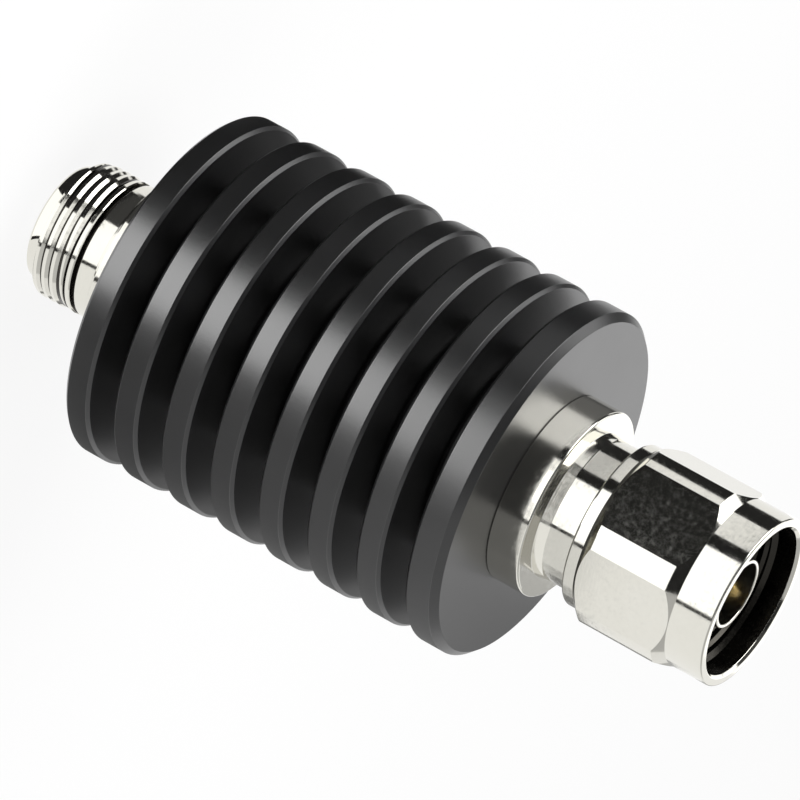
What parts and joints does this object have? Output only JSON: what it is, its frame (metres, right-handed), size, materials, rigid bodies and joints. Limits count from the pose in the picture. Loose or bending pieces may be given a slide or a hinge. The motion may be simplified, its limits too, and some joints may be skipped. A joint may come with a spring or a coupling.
{
  "type": "rf attenuator",
  "caption": "Coaxial power attenuator: round finned heat sink with a threaded jack at its foot and a plug with a free-spinning hexagonal coupling nut on top.",
  "frame": {"origin": "centre of the jack's mouth face, on the surface that the attenuator stands on", "axes": "+Z along the common axis, from the jack up to the plug; the chip faces -Y"},
  "size_m": [0.04, 0.04, 0.0881],
  "materials": {
    "black_anodised": "bead-blasted and black anodised, satin",
    "nickel_plate": "polished nickel plate on brass",
    "gold_plate": "gold plate on copper alloy",
    "white_dielectric": "waxy white fluoropolymer",
    "gasket_rubber": "black rubber",
    "spring_steel": "plain steel",
    "bare_copper": "machined copper alloy",
    "chip_ceramic": "fired ceramic",
    "silver_ribbon": "silver-plated copper ribbon"
  },
  "bodies": {
    "housing": {"heatsink": "black_anodised", "jack_body": "nickel_plate", "jack_insulator": "white_dielectric", "jack_bushing": "nickel_plate", "jack_socket": "gold_plate", "jack_tab": "silver_ribbon", "plug_body": "nickel_plate", "plug_outer_contact": "nickel_plate", "plug_insulator": "white_dielectric", "plug_bushing": "nickel_plate", "plug_pin": "gold_plate", "plug_tab": "silver_ribbon", "plug_gasket": "gasket_rubber", "nut_snap_ring": "spring_steel", "chip_carrier": "bare_copper", "carrier_cover": "bare_copper", "attenuator_chip": "chip_ceramic", "carrier_screws": "spring_steel"},
    "nut": {"coupling_nut": "nickel_plate"}
  },
  "joints": [
    {"name": "nut_spin", "type": "hinge", "parent": "housing", "child": "nut", "pos_m": [0, 0, 0.0793], "axis": [0, 0, 1], "continuous": true}
  ]
}
